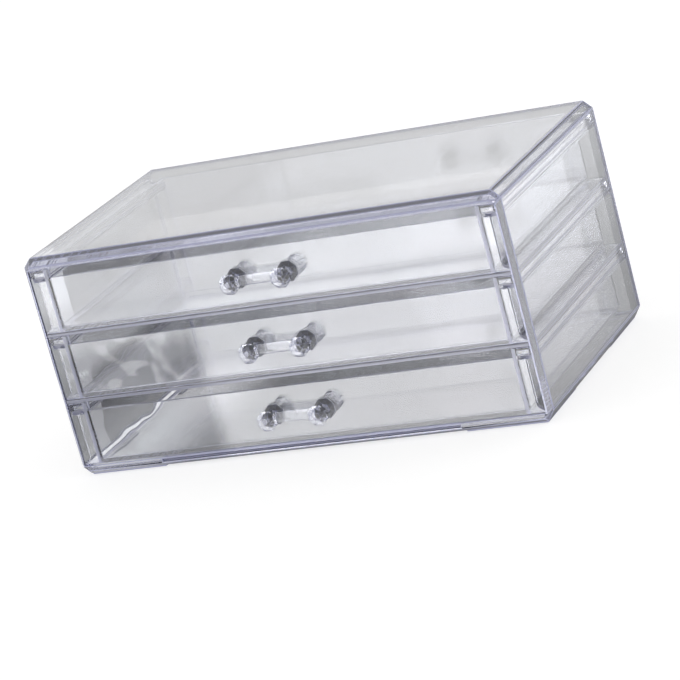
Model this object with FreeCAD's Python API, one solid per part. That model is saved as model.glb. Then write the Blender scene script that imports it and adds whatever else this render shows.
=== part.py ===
import FreeCAD, Part
import math
import os

# Clear three-drawer organizer for make-up and jewellery, in millimetres.
# Every piece is drawn with +X to the viewer's right, +Y to the back and +Z up,
# and with y = 0 at the face of the front rim. all_parts() then moves the lot
# so that the origin is on the table, at the middle of the whole footprint.

# ---------------------------------------------------------------- case
CASE_WIDTH = 240.0
CASE_DEPTH = 138.0
CASE_HEIGHT = 109.0
WALL = 2.6                      # side walls, top and bottom of the sleeve
TOP_CHAMFER = 4.1               # long upper edges, at 45 degrees
BOTTOM_CHAMFER_WIDTH = 4.1      # long lower edges, across
BOTTOM_CHAMFER_HEIGHT = 5.8     # long lower edges, up
RIM_DEPTH = 4.0                 # front rim, front to back
RIM_TOP_HEIGHT = 5.7            # from the roof down to the upper drawer bay
RIM_SILL_TOP = 5.6              # from the table up to the lower drawer bay
BEVEL_DEPTH = 3.0               # bevel round the rim, front to back
BEVEL_TOP = 4.2                 # the same bevel, down from the roof
BEVEL_SIDE = 2.4                # the same bevel, in from each side
BEVEL_BOTTOM = 2.2              # the same bevel, up from the underside
SILL_GROOVE_LOW = 3.3           # groove along the front of the sill
SILL_GROOVE_HEIGHT = 1.5
SILL_GROOVE_DEPTH = 2.0
FOOT_HEIGHT = 0.8
FOOT_ARM_LENGTH = 40.0
FOOT_ARM_WIDTH = 6.0
FOOT_INSET = 0.6                # feet behind the edge of the flat underside
BACK_THICKNESS = 2.4
SHELF_THICKNESS = 1.6
SHELF_FRONT_SETBACK = 0.4
SHELF_EDGE_ROUND = 0.5
GLUE_LINE = 0.05                # gap left by each glued joint
TIERS = 3

# ------------------------------------------------------------- runners
RUNNER_THICKNESS = 2.6
RUNNER_TAIL = 0.6               # how far the tails stand out of the back
TAIL_CLEARANCE = 0.1

# ------------------------------------------------------------- drawers
TRAY_WALL = 1.8
TRAY_FLOOR = 1.6
TRAY_ROUND = 2.6                # outside of the floor's long and rear edges
TRAY_CORNER = 2.6               # outside of the two rear corners
TRAY_SIDE_GAP = 7.7             # tray wall to case wall, filled by the flange
TRAY_BACK_GAP = 0.8
TRAY_FLOOR_GAP = 0.3            # tray floor above the shelf
FLANGE_TOP_GAP = 0.4            # flange under the shelf above
FLANGE_SIDE_GAP = 0.4           # flange to case wall
FLANGE_HEIGHT = 3.6
FLANGE_WEB = 1.5
RIDE_GAP = 0.1                  # flange lip above its runner
RUNNER_WALL_GAP = 0.9           # runner to tray wall
FRONT_SETBACK = 0.8             # drawer front behind the rim's face
FRONT_THICKNESS = 2.0
FRONT_TOP_GAP = 4.6             # view slot above the drawer front
FRONT_STOP_GAP = 0.1            # drawer front to runner ends, closed
FRONT_EAR_WIDTH = 3.8           # front plate beyond each tray wall
FRONT_EAR_TOP_DROP = 1.2        # ear tops below the front's top edge
FRONT_FLARE_LIP = 1.0           # height of the ear's foot below its curve

# --------------------------------------------------------------- pulls
PULL_DROP = 1.4                 # pulls below the middle of their bay
KNOB_SPACING = 25.5
KNOB_FACETS = 8
BASE_RADIUS = 5.2
BASE_RIM = 1.0
BASE_DEPTH = 2.6
NECK_RADIUS = 3.2
NECK_END = 7.2
GIRDLE_RADIUS = 4.95
GIRDLE_START = 8.9
GIRDLE_END = 9.8
TABLE_RADIUS = 2.9
TABLE_AT = 12.6
PEG_RADIUS = 1.6
PEG_CLEARANCE = 0.05
ROD_RADIUS = 2.4
ROD_AT = 4.9                    # rod's centre line in front of the drawer
ROD_SEAT_DEPTH = 1.4
ROD_CLEARANCE = 0.05

# ---------------------------------------------- worked out from the above
HALF_WIDTH = CASE_WIDTH / 2
INNER_HALF = HALF_WIDTH - WALL
BAY_TOP = CASE_HEIGHT - RIM_TOP_HEIGHT
BAY_HEIGHT = (BAY_TOP - RIM_SILL_TOP - (TIERS - 1) * SHELF_THICKNESS) / TIERS
PITCH = BAY_HEIGHT + SHELF_THICKNESS
BACK_FACE = CASE_DEPTH - BACK_THICKNESS
TRAY_HALF = INNER_HALF - TRAY_SIDE_GAP
TRAY_INNER_HALF = TRAY_HALF - TRAY_WALL
TRAY_BACK = BACK_FACE - TRAY_BACK_GAP
FRONT_BACK_FACE = FRONT_SETBACK + FRONT_THICKNESS
FLANGE_HALF = INNER_HALF - FLANGE_SIDE_GAP
FRONT_FLARE = FLANGE_HALF - TRAY_HALF - FRONT_EAR_WIDTH
RUNNER_INNER = TRAY_HALF + RUNNER_WALL_GAP
RUNNER_FRONT = FRONT_BACK_FACE + FRONT_STOP_GAP
FOREMOST = FRONT_SETBACK - TABLE_AT
REARMOST = CASE_DEPTH + RUNNER_TAIL
FOOTPRINT_MIDDLE = (FOREMOST + REARMOST) / 2

BACKWARD = FreeCAD.Vector(0, 1, 0)
FORWARD = FreeCAD.Vector(0, -1, 0)
RIGHT = FreeCAD.Vector(1, 0, 0)

TIER_NAMES = ("upper", "middle", "lower")


def box(x0, x1, y0, y1, z0, z1):
    """A block between two corners."""
    corner = FreeCAD.Vector(x0, y0, z0)
    return Part.makeBox(x1 - x0, y1 - y0, z1 - z0, corner)


def outline(y, half_width, low, high, top_chamfer, low_across, low_up):
    """The case's eight-sided outline, standing at depth y."""
    right_side = [
        (half_width - low_across, low),
        (half_width, low + low_up),
        (half_width, high - top_chamfer),
        (half_width - top_chamfer, high),
    ]
    left_side = [(-x, z) for x, z in reversed(right_side)]
    points = [FreeCAD.Vector(x, y, z) for x, z in right_side + left_side]
    return Part.makePolygon(points + [points[0]])


def prism(wire, length):
    """A flat outline pushed backwards."""
    return Part.Face(wire).extrude(BACKWARD * length)


def underside_chamfer():
    """What is left of the lower chamfer above the feet: across, up."""
    left = (BOTTOM_CHAMFER_HEIGHT - FOOT_HEIGHT) / BOTTOM_CHAMFER_HEIGHT
    return BOTTOM_CHAMFER_WIDTH * left, BOTTOM_CHAMFER_HEIGHT * left


def bay_top(tier):
    """Height of a drawer bay's ceiling; tier 0 is the upper one."""
    return BAY_TOP - tier * PITCH


def bay_floor(tier):
    return bay_top(tier) - BAY_HEIGHT


def flange_top(tier):
    return bay_top(tier) - FLANGE_TOP_GAP


def flange_low(tier):
    return flange_top(tier) - FLANGE_HEIGHT


def runner_top(tier):
    return flange_low(tier) - RIDE_GAP


def front_top(tier):
    return bay_top(tier) - FRONT_TOP_GAP


def pull_height(tier):
    return bay_floor(tier) + BAY_HEIGHT / 2 - PULL_DROP


def inner_chamfer():
    """Keeps the sleeve's wall even round its chamfered corners."""
    return TOP_CHAMFER - WALL * (2 - math.sqrt(2))


def sleeve_hollow(clearance, y, length):
    """The space inside the sleeve, or what fits it with a clearance."""
    half = INNER_HALF - clearance
    low = FOOT_HEIGHT + WALL + clearance
    high = CASE_HEIGHT - WALL - clearance
    cut = inner_chamfer()
    return prism(outline(y, half, low, high, cut, cut, cut), length)


def outer_shell():
    """One moulded sleeve: roof, sides, underside and bevelled front rim."""
    across, up = underside_chamfer()
    rear = outline(BEVEL_DEPTH, HALF_WIDTH, FOOT_HEIGHT, CASE_HEIGHT,
                   TOP_CHAMFER, across, up)
    front = outline(0, HALF_WIDTH - BEVEL_SIDE, FOOT_HEIGHT + BEVEL_BOTTOM,
                    CASE_HEIGHT - BEVEL_TOP, TOP_CHAMFER / 2,
                    across / 2, up / 2)
    rim = Part.makeLoft([front, rear], True, True)
    sleeve = prism(rear, CASE_DEPTH - BEVEL_DEPTH)
    body = rim.fuse(sleeve)
    hollow = sleeve_hollow(0, RIM_DEPTH, CASE_DEPTH - RIM_DEPTH)
    mouth = box(-INNER_HALF, INNER_HALF, 0, RIM_DEPTH, RIM_SILL_TOP, BAY_TOP)
    groove_half = HALF_WIDTH - BOTTOM_CHAMFER_WIDTH - FOOT_ARM_LENGTH
    groove = box(-groove_half, groove_half, 0, SILL_GROOVE_DEPTH,
                 SILL_GROOVE_LOW, SILL_GROOVE_LOW + SILL_GROOVE_HEIGHT)
    return body.cut(hollow).cut(mouth).cut(groove).removeSplitter()


def runner_block(tier, side, clearance):
    """A runner with its tail, or the notch that the tail passes through."""
    high = runner_top(tier) + clearance
    low = runner_top(tier) - RUNNER_THICKNESS - clearance
    inner = RUNNER_INNER - clearance
    outer = INNER_HALF - GLUE_LINE
    x0, x1 = sorted((side * inner, side * outer))
    return box(x0, x1, RUNNER_FRONT, REARMOST, low, high)


def runner(tier, side):
    """Ledge glued inside a case wall; a drawer's flange slides on it."""
    return runner_block(tier, side, 0)


def back_panel():
    """Plate glued in the sleeve's rear end, notched for six tails."""
    panel = sleeve_hollow(GLUE_LINE, BACK_FACE, BACK_THICKNESS)
    for tier in range(TIERS):
        for side in (-1, 1):
            panel = panel.cut(runner_block(tier, side, TAIL_CLEARANCE))
    return panel


def shelf(tier):
    """Divider below a tier, glued between the side walls and the back."""
    high = bay_floor(tier)
    half = INNER_HALF - GLUE_LINE
    plate = box(-half, half, SHELF_FRONT_SETBACK, BACK_FACE - GLUE_LINE,
                high - SHELF_THICKNESS, high)
    front_edges = []
    for edge in plate.Edges:
        centre = edge.CenterOfMass
        at_front = abs(centre.y - SHELF_FRONT_SETBACK) < 0.01
        if at_front and abs(centre.x) < 0.01:
            front_edges.append(edge)
    return plate.makeFillet(SHELF_EDGE_ROUND, front_edges)


def foot(side, rear):
    """L-shaped corner foot whose outer side carries on the chamfer."""
    across, up = underside_chamfer()
    slope = BOTTOM_CHAMFER_WIDTH / BOTTOM_CHAMFER_HEIGHT
    outer_high = HALF_WIDTH - across
    outer_low = outer_high - FOOT_HEIGHT * slope
    if rear:
        edge = CASE_DEPTH - FOOT_INSET
        inward = -1
    else:
        edge = BEVEL_DEPTH + FOOT_INSET
        inward = 1
    y0, y1 = sorted((edge, edge + inward * FOOT_ARM_LENGTH))
    end_inner = outer_high - FOOT_ARM_LENGTH
    top = FOOT_HEIGHT - GLUE_LINE
    section = [
        FreeCAD.Vector(side * end_inner, y0, 0),
        FreeCAD.Vector(side * outer_low, y0, 0),
        FreeCAD.Vector(side * outer_high, y0, top),
        FreeCAD.Vector(side * end_inner, y0, top),
    ]
    pad = Part.Face(Part.makePolygon(section + [section[0]]))
    pad = pad.extrude(BACKWARD * (y1 - y0))
    inner_edge = outer_high - FOOT_ARM_WIDTH
    x0, x1 = sorted((side * end_inner, side * inner_edge))
    c0, c1 = sorted((edge + inward * FOOT_ARM_WIDTH,
                     edge + inward * FOOT_ARM_LENGTH))
    return pad.cut(box(x0, x1, c0, c1, 0, top))


def corner_feet():
    feet = [foot(side, rear) for side in (-1, 1) for rear in (False, True)]
    return Part.makeCompound(feet)


def rounded_tub(half, y0, y1, low, high, floor_round, corner_round, front_too):
    """A block with rounded rear corners and rounded edges underneath."""
    tub = box(-half, half, y0, y1, low, high)
    corners = []
    for edge in tub.Edges:
        centre = edge.CenterOfMass
        upright = abs(centre.z - (low + high) / 2) < 0.01
        at_front = abs(centre.y - y0) < 0.01
        if upright and (front_too or not at_front):
            corners.append(edge)
    tub = tub.makeFillet(corner_round, corners)
    rim = []
    for edge in tub.Edges:
        centre = edge.CenterOfMass
        lowest = edge.BoundBox.ZMax < low + 0.01
        at_front = edge.BoundBox.YMax < y0 + 0.01
        if lowest and (front_too or not at_front):
            rim.append(edge)
    return tub.makeFillet(floor_round, rim)


def front_plate(tier):
    """Drawer front, with an ear beyond each wall that flares at its foot."""
    low = bay_floor(tier) + TRAY_FLOOR_GAP
    high = front_top(tier)
    ear_top = high - FRONT_EAR_TOP_DROP
    ear = TRAY_HALF + FRONT_EAR_WIDTH
    y = FRONT_SETBACK
    plate = box(-TRAY_HALF, TRAY_HALF, y, FRONT_BACK_FACE, low, high)
    for side in (-1, 1):
        lip = low + FRONT_FLARE_LIP
        turn = FRONT_FLARE * (1 - math.sqrt(0.5))
        start = FreeCAD.Vector(side * ear, y, lip + FRONT_FLARE)
        middle = FreeCAD.Vector(side * (ear + turn), y, lip + turn)
        tip = FreeCAD.Vector(side * (ear + FRONT_FLARE), y, lip)
        foot_tip = FreeCAD.Vector(side * (ear + FRONT_FLARE), y, low)
        root_low = FreeCAD.Vector(side * TRAY_INNER_HALF, y, low)
        root_high = FreeCAD.Vector(side * TRAY_INNER_HALF, y, ear_top)
        shoulder = FreeCAD.Vector(side * ear, y, ear_top)
        edges = [
            Part.Arc(start, middle, tip).toShape(),
            Part.makeLine(tip, foot_tip),
            Part.makeLine(foot_tip, root_low),
            Part.makeLine(root_low, root_high),
            Part.makeLine(root_high, shoulder),
            Part.makeLine(shoulder, start),
        ]
        plate = plate.fuse(prism(Part.Wire(edges), FRONT_THICKNESS))
    return plate


def flange(tier, side):
    """Hooked top edge of a tray wall, closed by a cap at its front end."""
    high = flange_top(tier)
    low = flange_low(tier)
    x0, x1 = sorted((side * TRAY_INNER_HALF, side * FLANGE_HALF))
    web = box(x0, x1, FRONT_SETBACK, TRAY_BACK, high - FLANGE_WEB, high)
    x0, x1 = sorted((side * (FLANGE_HALF - FLANGE_WEB), side * FLANGE_HALF))
    lip = box(x0, x1, FRONT_SETBACK, TRAY_BACK, low, high)
    x0, x1 = sorted((side * TRAY_HALF, side * FLANGE_HALF))
    cap = box(x0, x1, FRONT_SETBACK, FRONT_BACK_FACE, low, high)
    return web.fuse(lip).fuse(cap)


def knob_places():
    return (-KNOB_SPACING / 2, KNOB_SPACING / 2)


def drawer_tray(tier):
    """Open moulded drawer: tub, front plate and two hooked flanges."""
    low = bay_floor(tier) + TRAY_FLOOR_GAP
    high = flange_top(tier)
    tub = rounded_tub(TRAY_HALF, FRONT_SETBACK, TRAY_BACK, low, high,
                      TRAY_ROUND, TRAY_CORNER, False)
    hollow = rounded_tub(TRAY_INNER_HALF, FRONT_BACK_FACE,
                         TRAY_BACK - TRAY_WALL, low + TRAY_FLOOR, high + 20,
                         TRAY_ROUND - TRAY_WALL, TRAY_CORNER - TRAY_WALL, True)
    view_slot = box(-TRAY_INNER_HALF, TRAY_INNER_HALF, 0, FRONT_BACK_FACE,
                    front_top(tier), high + 1)
    tray = tub.fuse(front_plate(tier))
    for side in (-1, 1):
        tray = tray.fuse(flange(tier, side))
    tray = tray.cut(hollow).cut(view_slot)
    for x in knob_places():
        start = FreeCAD.Vector(x, 0, pull_height(tier))
        hole = Part.makeCylinder(PEG_RADIUS + PEG_CLEARANCE,
                                 FRONT_BACK_FACE + 1, start, BACKWARD)
        tray = tray.cut(hole)
    return tray.removeSplitter()


def facet_ring(x, z, forward, radius, turn):
    """Corners of one level of a cut knob; turn is in half facets."""
    step = 2 * math.pi / KNOB_FACETS
    points = []
    for index in range(KNOB_FACETS):
        angle = (index + 0.5 + turn / 2) * step
        points.append(FreeCAD.Vector(x + radius * math.cos(angle),
                                     FRONT_SETBACK - forward,
                                     z + radius * math.sin(angle)))
    return points


def flat_face(points):
    return Part.Face(Part.makePolygon(points + [points[0]]))


def cut_solid(rings):
    """Closed solid of flat facets through (corners, turn) levels."""
    faces = [flat_face(rings[0][0]), flat_face(rings[-1][0])]
    for (near, near_turn), (far, far_turn) in zip(rings, rings[1:]):
        for i in range(KNOB_FACETS):
            j = (i + 1) % KNOB_FACETS
            if near_turn == far_turn:
                faces.append(flat_face([near[i], near[j], far[j], far[i]]))
            elif far_turn > near_turn:
                faces.append(flat_face([near[i], near[j], far[i]]))
                faces.append(flat_face([near[j], far[j], far[i]]))
            else:
                faces.append(flat_face([near[i], near[j], far[j]]))
                faces.append(flat_face([near[i], far[j], far[i]]))
    solid = Part.Solid(Part.makeShell(faces))
    if solid.Volume < 0:
        solid.reverse()
    return solid


def pull_knob(tier, side):
    """Diamond-cut knob: faceted base, neck and head, with a glued peg."""
    x = side * KNOB_SPACING / 2
    z = pull_height(tier)
    levels = [
        (0, BASE_RADIUS, 0),
        (BASE_RIM, BASE_RADIUS, 0),
        (BASE_DEPTH, NECK_RADIUS, 1),
        (NECK_END, NECK_RADIUS, 1),
        (GIRDLE_START, GIRDLE_RADIUS, 0),
        (GIRDLE_END, GIRDLE_RADIUS, 0),
        (TABLE_AT, TABLE_RADIUS, 1),
    ]
    rings = [(facet_ring(x, z, forward, radius, turn), turn)
             for forward, radius, turn in levels]
    peg = Part.makeCylinder(PEG_RADIUS, FRONT_THICKNESS,
                            FreeCAD.Vector(x, FRONT_SETBACK, z), BACKWARD)
    seat_wall = NECK_RADIUS - ROD_SEAT_DEPTH
    seat_from = FreeCAD.Vector(x - side * seat_wall, FRONT_SETBACK - ROD_AT, z)
    seat = Part.makeCylinder(ROD_RADIUS + ROD_CLEARANCE, NECK_RADIUS * 2,
                             seat_from, RIGHT * -side)
    return cut_solid(rings).fuse(peg).cut(seat)


def pull_rod(tier):
    """Round rod seated in the two necks."""
    seat_wall = NECK_RADIUS - ROD_SEAT_DEPTH
    half = KNOB_SPACING / 2 - seat_wall - ROD_CLEARANCE
    start = FreeCAD.Vector(-half, FRONT_SETBACK - ROD_AT, pull_height(tier))
    return Part.makeCylinder(ROD_RADIUS, 2 * half, start, RIGHT)


def all_parts():
    parts = {
        "outer_shell": outer_shell(),
        "back_panel": back_panel(),
        "upper_shelf": shelf(0),
        "lower_shelf": shelf(1),
        "corner_feet": corner_feet(),
    }
    for tier, name in enumerate(TIER_NAMES):
        parts[name + "_left_runner"] = runner(tier, -1)
        parts[name + "_right_runner"] = runner(tier, 1)
        parts[name + "_drawer_tray"] = drawer_tray(tier)
        parts[name + "_pull_left_knob"] = pull_knob(tier, -1)
        parts[name + "_pull_right_knob"] = pull_knob(tier, 1)
        parts[name + "_pull_rod"] = pull_rod(tier)
    for shape in parts.values():
        shape.translate(FORWARD * FOOTPRINT_MIDDLE)
    return parts


os.makedirs("parts", exist_ok=True)
for node, shape in all_parts().items():
    shape.exportStep("parts/" + node + ".step")
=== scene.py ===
import math

import bpy
from mathutils import Matrix, Vector

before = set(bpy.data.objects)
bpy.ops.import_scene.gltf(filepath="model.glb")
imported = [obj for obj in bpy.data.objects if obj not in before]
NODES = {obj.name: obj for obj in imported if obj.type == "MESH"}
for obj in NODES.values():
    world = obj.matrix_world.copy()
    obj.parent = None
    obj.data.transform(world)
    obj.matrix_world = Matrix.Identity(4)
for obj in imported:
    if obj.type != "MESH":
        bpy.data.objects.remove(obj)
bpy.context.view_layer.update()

# Dresses the clear three-drawer organizer and builds its studio. Places are
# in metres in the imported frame: +X to the viewer's right, +Y to the back and
# +Z up, with the origin on the table. Colours are linear.

# ------------------------------------------------------------------ pieces
TIERS = ("upper", "middle", "lower")
CASE_NODES = ["outer_shell", "back_panel", "upper_shelf", "lower_shelf",
              "corner_feet"]
CASE_NODES += [f"{tier}_{side}_runner" for tier in TIERS
               for side in ("left", "right")]

# Rounded edges
CASE_EDGE = 0.0004
TRAY_EDGE = 0.0003
ROD_EDGE = 0.0002
KNOB_EDGE = 0.00012
EDGE_SEGMENTS = 2
SHARP_ANGLE = 30                # degrees; edges that turn more are rounded
FACET_ANGLE = 16                # the same, for the knobs' shallow facets
FLAT_ANGLE = 0.5                # degrees; faces that turn less become one
WELD_WITHIN = 1e-6
NORMAL_WEIGHT = 100             # large faces keep their own shading

# ------------------------------------- where the plastic changes its look
RIM_FACE = -0.0633              # flat face of the rim, in front of this
RIM_BEVELS = -0.0598            # bevels of the rim, in front of this
SLEEVE_END = 0.0731             # last strip of the sleeve, behind this
FRONT_PLATE = -0.0604           # front plate of a drawer, in front of this
PLATE_INSIDE = (-0.0612, -0.0600)       # inner face of the front plate
TRAY_WALL = (0.1079, 0.1097)    # side wall of a drawer, out from x = 0
GLUE_FACE = -0.0632             # a knob's face on the plate, behind this
DRAWER_LOW = 0.0059             # underside of the lower drawer
DRAWER_PITCH = 0.0331           # from one drawer up to the next
PLATE_TOP = 0.02                # level faces higher up are the top edge
PLATE_FOOT = 0.0024             # upright faces lower down are the foot
LEFT_END = (-0.062, 0.03)       # wavy end of the plates: edge, softness
WAVY_BELOW = 0.0715             # the upper drawer has no wavy end

# How squarely a face looks along an axis: 1 is straight along it
STRAIGHT_ON = 0.9
MOSTLY_ON = 0.7
TURNED_AWAY = 0.5
SLANTED_BELOW = 0.94            # less than this along all three axes

# Glow: the share of a surface that isn't clear. It shows painted light, and
# painted shade on the last strip of the sleeve
LONG_BEVEL_GLOW = 0.025
RIM_BEVEL_GLOW = 0.2
SMALL_BEVEL_GLOW = 0.25
RIM_FACE_GLOW = 0.16
SLEEVE_END_SHADE_SHARE = 0.8
CUT_EDGE_GLOW = 0.4
PLATE_TOP_GLOW = 0.28
PLATE_FOOT_GLOW = 0.20
TRAY_WALL_GLOW = 0.4

# Flat faces take these colours, painted light and painted shade, from these
# glows upwards
# pale painted light: rim face, and top and foot of the front plates
PALE_PAINTED_LIGHT, PALE_FROM = (0.90, 0.91, 0.98), 0.01
# lilac painted light: cut edges of sheets, runner ends, side-wall strips
CUT_EDGE_PAINTED_LIGHT, CUT_FROM = (0.62, 0.63, 0.80), 0.3
# dark painted shade: last strip of the sleeve
REAR_PAINTED_SHADE, REAR_FROM = (0.14, 0.15, 0.28), 0.6
# and bevels this one, a painted light
BEVEL_PAINTED_LIGHT, BEVEL_FROM = (0.76, 0.77, 0.91), 0.1

# ---------------------------------------------------------------- plastics
PLASTIC_IOR = 1.49
BACK_IOR = 1.25                 # chosen for the look of the back plate
ABSORB_COLOUR = (0.60, 0.62, 0.90)
ABSORB_DENSITY = 5.0
TINTS = ((0.965, 0.985, 1.0), (1.0, 0.985, 0.995))
TINT_SCALE = 16
BEVEL_MOTTLE = 1.08             # how much paler the bevels' blotches are
BEVEL_MOTTLE_SCALE = 70
HAZE = 0.003
HAZE_SCALE = 900
GLOW_ROUGHNESS = 0.2

FINE = 2.0                      # noise detail; waves and tint have 1

# Mould waves: pairs of noise scale and height
CALM = [(35, 0.000012)]
WAVY = [(30, 0.00004), (62, 0.0011)]

# Rounded edges: colour and clearness. The colours are painted light and
# painted shade, lilac grey to dark
CASE_EDGE_LOOK = ((0.40, 0.41, 0.57), 0.15)
DRAWER_EDGE_LOOK = ((0.50, 0.51, 0.68), 0.2)
CRYSTAL_EDGE_LOOK = ((0.30, 0.31, 0.45), 0.45)
EDGE_MOTTLE = 1.18
EDGE_MOTTLE_SCALE = 60
EDGE_ROUGHNESS = 0.1
EDGE_GRAIN = 0.1
EDGE_GRAIN_SCALE = 400

# Cut-crystal pulls
CRYSTAL_IOR = 1.14              # chosen for the look of the small facets
# pale painted light in the share of the knobs and rod that isn't clear
CRYSTAL_PAINTED_LIGHTS = ((0.93, 0.94, 1.0), (0.99, 0.99, 1.0))
CRYSTAL_PALE_SCALE = 300
# painted shade on facets that turn away
CRYSTAL_PAINTED_SHADE = (0.30, 0.31, 0.46)
CRYSTAL_DARK_CLEARNESS = 0.45
# painted light on the face glued to the front plate
GLUED_FACE_PAINTED_LIGHT = (0.86, 0.87, 0.96)
GLUE_CLEARNESS = 0.3
TURN_SOFTNESS = 0.14
KNOB_TURN, KNOB_CLEARNESS = 0.84, 0.93
ROD_TURN, ROD_CLEARNESS = 0.66, 0.86
COAT_WEIGHT = 0.3
COAT_IOR = 1.5
COAT_ROUGHNESS = 0.02
CRYSTAL_GRAIN = 0.02
CRYSTAL_GRAIN_SCALE = 700

# ------------------------------------------------------------------ studio
FLOOR_HALF = 6.0
FLOOR_AT = -0.0002              # just below the feet
FLOOR_GREY = (0.42, 0.42, 0.42)
FLOOR_GLOW = 0.71               # added to the grey, as the camera sees it
LIT_COLOUR = (0.985, 0.99, 1.0)
CARD_COLOUR = (0.96, 0.975, 1.0)
MATT_LIGHT = 0.9                # floor and cards, as matt surfaces see them

# Floor brightness as the plastic shows it: painted light and painted shade, a
# bright pool in front and darker under and behind the organizer. An edge is a
# place and its softness.
FRONT_EDGE = (-0.064, 0.01)
BEHIND_EDGE = (0.07, 0.03)
RIGHT_EDGE = (0.121, 0.02)
LEFT_EDGE = (-0.078, 0.05)
FAR_RIGHT_EDGE = (0.22, 0.16)
POOL_SLOPE = -0.555             # the pool's edge runs forwards and left
POOL_EDGE = (-0.007, 0.014)
POOL_FAR_EDGE = (-0.27, 0.05)
POOL_RIGHT = 5.7
POOL_THROUGH = 0.5              # where it isn't seen by reflection
POOL_LEFT_NEAR = 1.5
POOL_LEFT_FAR = 5.0
# painted shade under the organizer, lighter to the left, and behind it
FLOOR_UNDER = 0.12
FLOOR_UNDER_LEFT = 0.9
FLOOR_BEHIND = 0.2
FLOOR_RIGHT_NEAR = 1.0
FLOOR_RIGHT_FAR = 1.6

# Sky brightness by direction
SKY_BACK = 1.5
SKY_FRONT = 2.6
SKY_TOP = 1.0
SKY_PLAIN = 1.0                 # as the camera and matt surfaces see it
AHEAD_EDGE = (0.0, 0.6)
OVERHEAD_EDGE = (0.55, 0.3)

# Cards of painted shade and light, seen only through the plastic: two upright
# sides (x, y), the top, and (height, brightness) pairs
BACK_CARD = ((-0.125, 0.078), (0.125, 0.078), 0.135, [
    (0.0, 0.14), (0.03, 0.20), (0.106, 0.22), (0.112, 0.7)])
LEFT_CARD = ((-0.124, -0.026), (-0.124, 0.078), 0.135, [
    (0.0, 0.02), (0.036, 0.03), (0.044, 0.30), (0.066, 0.26),
    (0.075, 0.14), (0.106, 0.12), (0.112, 1.0)])
FRONT_LEFT_CARD = ((-0.124, -0.062), (-0.124, -0.026), 0.106, [
    (0.0, 0.22), (0.03, 0.26), (0.05, 0.34), (0.07, 0.42), (0.08, 0.6)])

CAMERA_AT = (0.62072, -1.26268, 0.42828)
CAMERA_RIGHT = (0.89726, 0.363972, -0.249899)
CAMERA_DOWN = (-0.116926, -0.349911, -0.929457)
CAMERA_LENS = 164.81
CAMERA_SENSOR = 36.0
CAMERA_NEAR = 0.05
CAMERA_FAR = 50

# Light passes many clear walls before it leaves the case
MOST_BOUNCES = 40
MOST_REFLECTIONS = 16
MOST_SEE_THROUGH = 24


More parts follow.
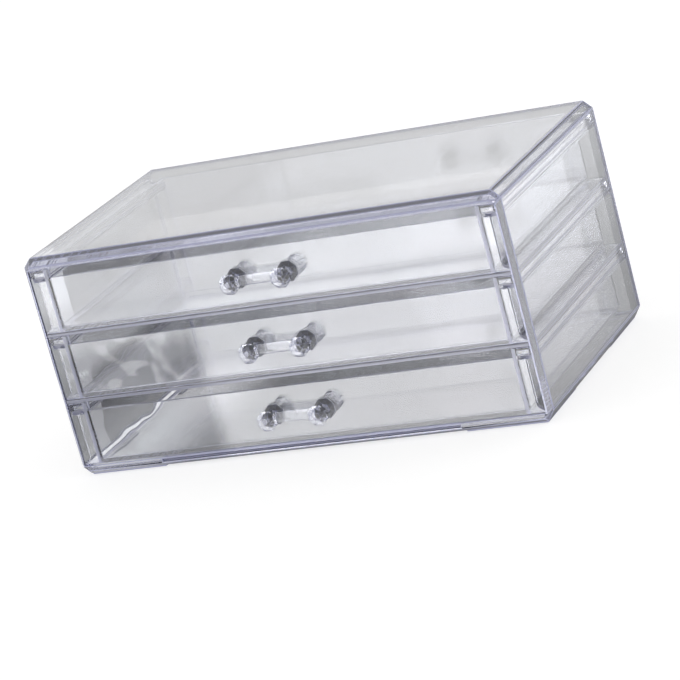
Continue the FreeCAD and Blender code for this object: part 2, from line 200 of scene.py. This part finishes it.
# ------------------------------------------------------------------- nodes
class Wires:
    """Short names for the nodes that the shaders are made of."""

    def __init__(self, tree):
        self.tree = tree

    def add(self, kind):
        return self.tree.nodes.new(kind)

    def link(self, value, socket):
        self.tree.links.new(value, socket)

    def math(self, operation, a, b=None):
        node = self.add("ShaderNodeMath")
        node.operation = operation
        for socket, value in zip(node.inputs, (a, b)):
            if isinstance(value, (int, float)):
                socket.default_value = value
            elif value is not None:
                self.link(value, socket)
        return node.outputs[0]

    def times(self, a, b):
        return self.math("MULTIPLY", a, b)

    def rest_of(self, share):
        return self.math("SUBTRACT", 1.0, share)

    def above(self, value, at):
        return self.math("GREATER_THAN", value, at)

    def below(self, value, at):
        return self.math("LESS_THAN", value, at)

    def between(self, value, low, high):
        return self.times(self.above(value, low), self.below(value, high))

    def all_of(self, *masks):
        result = masks[0]
        for mask in masks[1:]:
            result = self.times(result, mask)
        return result

    def any_of(self, *masks):
        result = masks[0]
        for mask in masks[1:]:
            result = self.math("MAXIMUM", result, mask)
        return result

    def ramp(self, value, start, end, smooth=False):
        """0 up to start and 1 from end on."""
        node = self.add("ShaderNodeMapRange")
        if smooth:
            node.interpolation_type = "SMOOTHSTEP"
        self.link(value, node.inputs["Value"])
        node.inputs["From Min"].default_value = start
        node.inputs["From Max"].default_value = end
        return node.outputs["Result"]

    def step(self, value, at, softness):
        """0 below a place and 1 above it, with a soft edge."""
        return self.ramp(value, at - softness / 2, at + softness / 2, True)

    def blend(self, share, low, high):
        """low where share is 0 and high where it is 1."""
        gap = self.math("SUBTRACT", high, low)
        return self.math("ADD", self.times(share, gap), low)

    def colour_mix(self, share, low, high):
        """The same for colours, each given or from a node."""
        node = self.add("ShaderNodeMix")
        node.data_type = "RGBA"
        self.link(share, node.inputs["Factor"])
        for socket, value in ((node.inputs[6], low), (node.inputs[7], high)):
            if isinstance(value, tuple):
                socket.default_value = (*value, 1)
            else:
                self.link(value, socket)
        return node.outputs[2]

    def shader_mix(self, share, low, high):
        """The same for shaders."""
        node = self.add("ShaderNodeMixShader")
        for socket, value in zip(node.inputs, (share, low, high)):
            self.link(value, socket)
        return node.outputs[0]

    def split(self, vector):
        node = self.add("ShaderNodeSeparateXYZ")
        self.link(vector, node.inputs[0])
        return node.outputs

    def coordinates(self, kind="Object"):
        return self.add("ShaderNodeTexCoord").outputs[kind]

    def place(self):
        """Object coordinates, split into x, y and z."""
        return self.split(self.coordinates())

    def facing(self):
        """How squarely the surface looks along x, y and z, either way."""
        normal = self.add("ShaderNodeNewGeometry").outputs["True Normal"]
        way = self.split(normal)
        return {axis: self.math("ABSOLUTE", way[axis])
                for axis in ("X", "Y", "Z")}

    def noise(self, scale, detail=1.0):
        node = self.add("ShaderNodeTexNoise")
        node.inputs["Scale"].default_value = scale
        node.inputs["Detail"].default_value = detail
        self.link(self.coordinates(), node.inputs["Vector"])
        return node.outputs["Fac"]

    def grain(self, scale, size):
        """Fine noise from 0 to a size."""
        return self.times(self.noise(scale, FINE), size)

    def camera_ray(self):
        return self.add("ShaderNodeLightPath").outputs["Is Camera Ray"]

    def has_had(self, kind):
        """1 for rays that have had at least one bounce of a kind."""
        path = self.add("ShaderNodeLightPath")
        return self.above(path.outputs[kind + " Depth"], 0.5)

    def emission(self, colour, strength):
        node = self.add("ShaderNodeEmission")
        node.inputs["Color"].default_value = (*colour, 1)
        self.link(strength, node.inputs["Strength"])
        return node.outputs[0]


def new_material(name):
    """An empty node material, the wires to fill it, and its output."""
    material = bpy.data.materials.new(name)
    material.use_nodes = True
    material.node_tree.nodes.clear()
    wires = Wires(material.node_tree)
    return material, wires, wires.add("ShaderNodeOutputMaterial")


def new_plastic(name, ior):
    """A material with one glossy shader in it."""
    material, wires, out = new_material(name)
    shader = wires.add("ShaderNodeBsdfPrincipled")
    shader.inputs["IOR"].default_value = ior
    wires.link(shader.outputs["BSDF"], out.inputs["Surface"])
    return material, wires, out, shader.inputs


def absorb(wires, out):
    """Faint violet tint that grows with the depth of plastic."""
    volume = wires.add("ShaderNodeVolumeAbsorption")
    volume.inputs["Color"].default_value = (*ABSORB_COLOUR, 1)
    volume.inputs["Density"].default_value = ABSORB_DENSITY
    wires.link(volume.outputs["Volume"], out.inputs["Volume"])


def paler(colour, times):
    return tuple(min(1.0, value * times) for value in colour)


# ------------------------------------------------------- where faces glow
def slanted(wires):
    """1 on faces that lean, such as bevels and chamfers, and 0 on faces
    that look straight along an axis."""
    return wires.below(wires.any_of(*wires.facing().values()), SLANTED_BELOW)


def case_bevels(wires):
    """Painted light on the bevels: strongest round the front rim, faint along
    the long chamfers.
    """
    front = wires.below(wires.place()["Y"], RIM_BEVELS)
    glow = wires.blend(front, LONG_BEVEL_GLOW, RIM_BEVEL_GLOW)
    return wires.times(slanted(wires), glow)


# Painted light on every bevel, at one share
def small_bevels(wires):
    return wires.times(slanted(wires), SMALL_BEVEL_GLOW)


def case_flats(wires):
    """Pale painted light on the flat face of the rim, and dark painted shade
    on the last strip of the sleeve, where its sawn rear end shows through."""
    facing, place = wires.facing(), wires.place()
    rim = wires.all_of(wires.above(facing["Y"], STRAIGHT_ON),
                       wires.below(place["Y"], RIM_FACE))
    rear = wires.all_of(wires.above(place["Y"], SLEEVE_END),
                        wires.below(facing["Y"], TURNED_AWAY))
    return wires.any_of(wires.times(rim, RIM_FACE_GLOW),
                        wires.times(rear, SLEEVE_END_SHADE_SHARE))


def sheet_edges(axis):
    """Painted light on the cut edges of a flat sheet whose broad faces look
    along one axis.
    """
    def mask(wires):
        edges = wires.below(wires.facing()[axis], MOSTLY_ON)
        return wires.times(edges, CUT_EDGE_GLOW)
    return mask


# Painted light on the ends of the runners
def runner_ends(wires):
    ends = wires.above(wires.facing()["Y"], MOSTLY_ON)
    return wires.times(ends, CUT_EDGE_GLOW)


def drawer_flats(wires):
    """Painted light on the top edge of a drawer's front plate, on its foot
    where the floor runs into it, and on the strips where the side walls do:
    pale on the top and foot, lilac on the strips."""
    facing, place = wires.facing(), wires.place()
    stack_height = wires.math("SUBTRACT", place["Z"], DRAWER_LOW)
    tier = wires.math("DIVIDE", stack_height, DRAWER_PITCH)
    height = wires.times(wires.math("FRACT", tier), DRAWER_PITCH)
    plate = wires.below(place["Y"], FRONT_PLATE)
    upright = wires.above(facing["Y"], STRAIGHT_ON)
    top = wires.all_of(wires.above(facing["Z"], STRAIGHT_ON), plate,
                       wires.above(height, PLATE_TOP))
    foot = wires.all_of(upright, plate, wires.below(height, PLATE_FOOT))
    side = wires.math("ABSOLUTE", place["X"])
    wall = wires.all_of(wires.between(side, *TRAY_WALL), upright, plate)
    return wires.any_of(wires.times(top, PLATE_TOP_GLOW),
                        wires.times(foot, PLATE_FOOT_GLOW),
                        wires.times(wall, TRAY_WALL_GLOW))


def left_end(wires):
    """1 on the inner face of a front plate near its left end, in the two
    lower drawers."""
    place = wires.place()
    left = wires.rest_of(wires.step(place["X"], *LEFT_END))
    inner = wires.between(place["Y"], *PLATE_INSIDE)
    return wires.all_of(left, inner, wires.below(place["Z"], WAVY_BELOW))


# --------------------------------------------------------------- materials
def clear_plastic(name, waves, bevels, flats, patch=None, ior=PLASTIC_IOR):
    """Moulded clear plastic: glass-like sheets, bevels and cut edges with
    painted light (and one strip of painted shade), mould waves and faint haze.

    waves are (noise scale, height) pairs. patch limits those after the
    first one.
    """
    material, wires, out, sockets = new_plastic(name, ior)
    bevel_glow, flat_glow = bevels(wires), flats(wires)
    glow = wires.any_of(bevel_glow, flat_glow)
    mottle = wires.colour_mix(wires.noise(BEVEL_MOTTLE_SCALE, FINE),
                              BEVEL_PAINTED_LIGHT,
                              paler(BEVEL_PAINTED_LIGHT, BEVEL_MOTTLE))
    colour = wires.colour_mix(wires.noise(TINT_SCALE), *TINTS)
    for start, flat_colour in ((PALE_FROM, PALE_PAINTED_LIGHT),
                               (CUT_FROM, CUT_EDGE_PAINTED_LIGHT),
                               (REAR_FROM, REAR_PAINTED_SHADE)):
        reached = wires.above(flat_glow, start)
        colour = wires.colour_mix(reached, colour, flat_colour)
    reached = wires.above(bevel_glow, BEVEL_FROM)
    wires.link(wires.colour_mix(reached, colour, mottle),
               sockets["Base Color"])
    wires.link(wires.rest_of(glow), sockets["Transmission Weight"])
    roughness = wires.math("ADD", wires.grain(HAZE_SCALE, HAZE),
                           wires.times(glow, GLOW_ROUGHNESS))
    wires.link(roughness, sockets["Roughness"])
    first, *others = [wires.times(wires.noise(scale), size)
                      for scale, size in waves]
    height = first
    for wave in others:
        height = wires.math("ADD", height, wires.times(wave, patch(wires)))
    bump = wires.add("ShaderNodeBump")
    bump.inputs["Distance"].default_value = 1.0
    bump.inputs["Strength"].default_value = 1.0
    wires.link(height, bump.inputs["Height"])
    wires.link(bump.outputs["Normal"], sockets["Normal"])
    absorb(wires, out)
    return material


def edge_plastic(name, colour, clearness):
    """The narrow rounded edges, painted in a lilac grey: painted light for the
    light piped along a sheet that leaks out there, and painted shade for the
    dark lines along them."""
    material, wires, out, sockets = new_plastic(name, PLASTIC_IOR)
    mottle = wires.colour_mix(wires.noise(EDGE_MOTTLE_SCALE, FINE),
                              colour, paler(colour, EDGE_MOTTLE))
    wires.link(mottle, sockets["Base Color"])
    sockets["Transmission Weight"].default_value = clearness
    grain = wires.grain(EDGE_GRAIN_SCALE, EDGE_GRAIN)
    wires.link(wires.math("ADD", grain, EDGE_ROUGHNESS),
               sockets["Roughness"])
    absorb(wires, out)
    return material


def crystal_plastic(name, turn, clearness):
    """Cut-crystal pulls: bright clear facets under a glossy skin, brightened
    by a pale share that is painted light, with painted shade where they turn
    away.

    The face on the front plate is painted pale, a painted light so that the
    facets have something light behind them.
    """
    material, wires, _, sockets = new_plastic(name, CRYSTAL_IOR)
    sockets["Coat Weight"].default_value = COAT_WEIGHT
    sockets["Coat IOR"].default_value = COAT_IOR
    sockets["Coat Roughness"].default_value = COAT_ROUGHNESS
    lean = wires.add("ShaderNodeLayerWeight")
    lean.inputs["Blend"].default_value = 0.5
    turned = wires.step(lean.outputs["Facing"], turn, TURN_SOFTNESS)
    pale = wires.colour_mix(wires.noise(CRYSTAL_PALE_SCALE, FINE),
                            *CRYSTAL_PAINTED_LIGHTS)
    glued = wires.above(wires.place()["Y"], GLUE_FACE)
    colour = wires.colour_mix(turned, pale, CRYSTAL_PAINTED_SHADE)
    wires.link(wires.colour_mix(glued, colour, GLUED_FACE_PAINTED_LIGHT),
               sockets["Base Color"])
    clear = wires.blend(turned, clearness, CRYSTAL_DARK_CLEARNESS)
    wires.link(wires.blend(glued, clear, GLUE_CLEARNESS),
               sockets["Transmission Weight"])
    wires.link(wires.grain(CRYSTAL_GRAIN_SCALE, CRYSTAL_GRAIN),
               sockets["Roughness"])
    return material


def dress(name, material, edges, width, whole=False, clamp=True,
          offset="OFFSET", sharp=SHARP_ANGLE):
    """Gives a CAD node its material and small rounded edges.

    whole joins the triangles of each flat face first, so that the bevels
    run evenly, and keeps flat faces flat in the shading.
    """
    node = NODES[name]
    node.data.materials.clear()
    node.data.materials.append(material)
    node.data.materials.append(edges)
    weld = node.modifiers.new("weld", "WELD")
    weld.merge_threshold = WELD_WITHIN
    if whole:
        flat = node.modifiers.new("whole_faces", "DECIMATE")
        flat.decimate_type = "DISSOLVE"
        flat.angle_limit = math.radians(FLAT_ANGLE)
    bevel = node.modifiers.new("edges", "BEVEL")
    bevel.width = width
    bevel.segments = EDGE_SEGMENTS
    bevel.limit_method = "ANGLE"
    bevel.angle_limit = math.radians(sharp)
    bevel.use_clamp_overlap = clamp
    bevel.offset_type = offset
    bevel.harden_normals = False
    bevel.material = 1
    if whole:
        even = node.modifiers.new("even_normals", "WEIGHTED_NORMAL")
        even.weight = NORMAL_WEIGHT


def dress_case():
    moulded = clear_plastic("case_clear_plastic", CALM, case_bevels,
                            case_flats)
    back = clear_plastic("back_clear_plastic", CALM, small_bevels,
                         sheet_edges("Y"), ior=BACK_IOR)
    shelf = clear_plastic("shelf_clear_plastic", CALM, small_bevels,
                          sheet_edges("Z"))
    runner = clear_plastic("runner_clear_plastic", CALM, small_bevels,
                           runner_ends)
    edges = edge_plastic("case_edge_plastic", *CASE_EDGE_LOOK)
    own_material = {"back_panel": back, "upper_shelf": shelf,
                    "lower_shelf": shelf}
    for name in CASE_NODES:
        material = own_material.get(name, moulded)
        if name.endswith("runner"):
            material = runner
        dress(name, material, edges, CASE_EDGE,
              whole=name.endswith("shelf"), clamp=name != "outer_shell")


def dress_drawers():
    tray = clear_plastic("drawer_clear_plastic", WAVY, small_bevels,
                         drawer_flats, left_end)
    tray_edges = edge_plastic("drawer_edge_plastic", *DRAWER_EDGE_LOOK)
    knob = crystal_plastic("crystal_clear_plastic", KNOB_TURN,
                           KNOB_CLEARNESS)
    rod = crystal_plastic("rod_clear_plastic", ROD_TURN, ROD_CLEARNESS)
    pull_edges = edge_plastic("crystal_edge_plastic", *CRYSTAL_EDGE_LOOK)
    for tier in TIERS:
        dress(tier + "_drawer_tray", tray, tray_edges, TRAY_EDGE,
              whole=True, clamp=False, offset="ABSOLUTE")
        for side in ("left", "right"):
            dress(f"{tier}_pull_{side}_knob", knob, pull_edges, KNOB_EDGE,
                  clamp=False, sharp=FACET_ANGLE)
        dress(tier + "_pull_rod", rod, pull_edges, ROD_EDGE, clamp=False)


# ------------------------------------------------------------------ studio
def floor_brightness(wires):
    """How bright the paper is where the clear plastic shows it, by place: a
    painted pool of light and painted shade. The bright pool in front shows
    only in reflections."""
    place = wires.place()
    x, y = place["X"], place["Y"]
    front = wires.rest_of(wires.step(y, *FRONT_EDGE))
    behind = wires.step(y, *BEHIND_EDGE)
    right = wires.step(x, *RIGHT_EDGE)
    slant = wires.math("ADD", x, wires.times(y, POOL_SLOPE))
    pool_side = wires.step(slant, *POOL_EDGE)
    far = wires.rest_of(wires.step(y, *POOL_FAR_EDGE))
    left_pool = wires.blend(far, POOL_LEFT_NEAR, POOL_LEFT_FAR)
    pool = wires.blend(wires.has_had("Glossy"), POOL_THROUGH,
                       wires.blend(pool_side, left_pool, POOL_RIGHT))
    left = wires.rest_of(wires.step(x, *LEFT_EDGE))
    middle = wires.blend(left, FLOOR_UNDER, FLOOR_UNDER_LEFT)
    under = wires.blend(behind, middle, FLOOR_BEHIND)
    beside = wires.blend(wires.step(x, *FAR_RIGHT_EDGE),
                         FLOOR_RIGHT_NEAR, FLOOR_RIGHT_FAR)
    rest = wires.blend(right, under, beside)
    return wires.blend(front, rest, pool)


def new_quad(name, corners):
    mesh = bpy.data.meshes.new(name)
    mesh.from_pydata(corners, [], [(0, 1, 2, 3)])
    quad = bpy.data.objects.new(name, mesh)
    bpy.context.scene.collection.objects.link(quad)
    return quad


def make_floor():
    """White paper for the camera, and for the plastic a floor with a painted
    pool of light and painted shade.
    """
    half, z = FLOOR_HALF, FLOOR_AT
    floor = new_quad("studio_floor", [(-half, -half, z), (half, -half, z),
                                      (half, half, z), (-half, half, z)])
    material, wires, out = new_material("floor_paper")
    grey = wires.add("ShaderNodeBsdfDiffuse")
    grey.inputs["Color"].default_value = (*FLOOR_GREY, 1)
    glow = wires.add("ShaderNodeEmission")
    glow.inputs["Strength"].default_value = FLOOR_GLOW
    paper = wires.add("ShaderNodeAddShader")
    wires.link(grey.outputs[0], paper.inputs[0])
    wires.link(glow.outputs[0], paper.inputs[1])
    shown = wires.blend(wires.has_had("Diffuse"), floor_brightness(wires),
                        MATT_LIGHT)
    lit = wires.emission(LIT_COLOUR, shown)
    wires.link(wires.shader_mix(wires.camera_ray(), lit, paper.outputs[0]),
               out.inputs["Surface"])
    floor.data.materials.append(material)


def make_card(name, start, end, top, levels):
    """Upright card of painted shade and light, its brightness set by height,
    that only rays from inside the plastic show.
    """
    (x0, y0), (x1, y1) = start, end
    card = new_quad(name, [(x0, y0, 0), (x1, y1, 0),
                           (x1, y1, top), (x0, y0, top)])
    card.visible_camera = False
    card.visible_shadow = False
    card.visible_diffuse = False
    material, wires, out = new_material(name + "_painted_shade")
    z = wires.place()["Z"]
    level = levels[0][1]
    for (low, _), (high, bright) in zip(levels, levels[1:]):
        level = wires.blend(wires.ramp(z, low, high), level, bright)
    level = wires.blend(wires.has_had("Diffuse"), level, MATT_LIGHT)
    lit = wires.emission(CARD_COLOUR, level)
    clear = wires.add("ShaderNodeBsdfTransparent").outputs[0]
    wires.link(wires.shader_mix(wires.has_had("Transmission"), clear, lit),
               out.inputs["Surface"])
    card.data.materials.append(material)


def make_world():
    """Soft sky, brighter in front of the organizer than behind it."""
    world = bpy.data.worlds.new("studio")
    bpy.context.scene.world = world
    world.use_nodes = True
    world.node_tree.nodes.clear()
    wires = Wires(world.node_tree)
    way = wires.split(wires.coordinates("Generated"))
    low = wires.blend(wires.step(way["Y"], *AHEAD_EDGE),
                      SKY_FRONT, SKY_BACK)
    sky = wires.blend(wires.step(way["Z"], *OVERHEAD_EDGE), low, SKY_TOP)
    plain = wires.any_of(wires.camera_ray(), wires.has_had("Diffuse"))
    back = wires.add("ShaderNodeBackground")
    wires.link(wires.blend(plain, sky, SKY_PLAIN), back.inputs["Strength"])
    out = wires.add("ShaderNodeOutputWorld")
    wires.link(back.outputs[0], out.inputs["Surface"])


def make_camera():
    data = bpy.data.cameras.new("camera")
    data.sensor_width = CAMERA_SENSOR
    data.lens = CAMERA_LENS
    data.clip_start = CAMERA_NEAR
    data.clip_end = CAMERA_FAR
    camera = bpy.data.objects.new("camera", data)
    bpy.context.scene.collection.objects.link(camera)
    right = Vector(CAMERA_RIGHT).normalized()
    up = -Vector(CAMERA_DOWN).normalized()
    back = right.cross(up)
    turn = Matrix((right, up, back)).transposed().to_4x4()
    camera.matrix_world = Matrix.Translation(CAMERA_AT) @ turn
    bpy.context.scene.camera = camera


dress_case()
dress_drawers()
make_floor()
make_card("studio_back_card", *BACK_CARD)
make_card("studio_left_card", *LEFT_CARD)
make_card("studio_front_left_card", *FRONT_LEFT_CARD)
make_world()
make_camera()

scene = bpy.context.scene
scene.view_settings.view_transform = "Standard"
scene.cycles.max_bounces = MOST_BOUNCES
scene.cycles.transmission_bounces = MOST_BOUNCES
scene.cycles.glossy_bounces = MOST_REFLECTIONS
scene.cycles.transparent_max_bounces = MOST_SEE_THROUGH
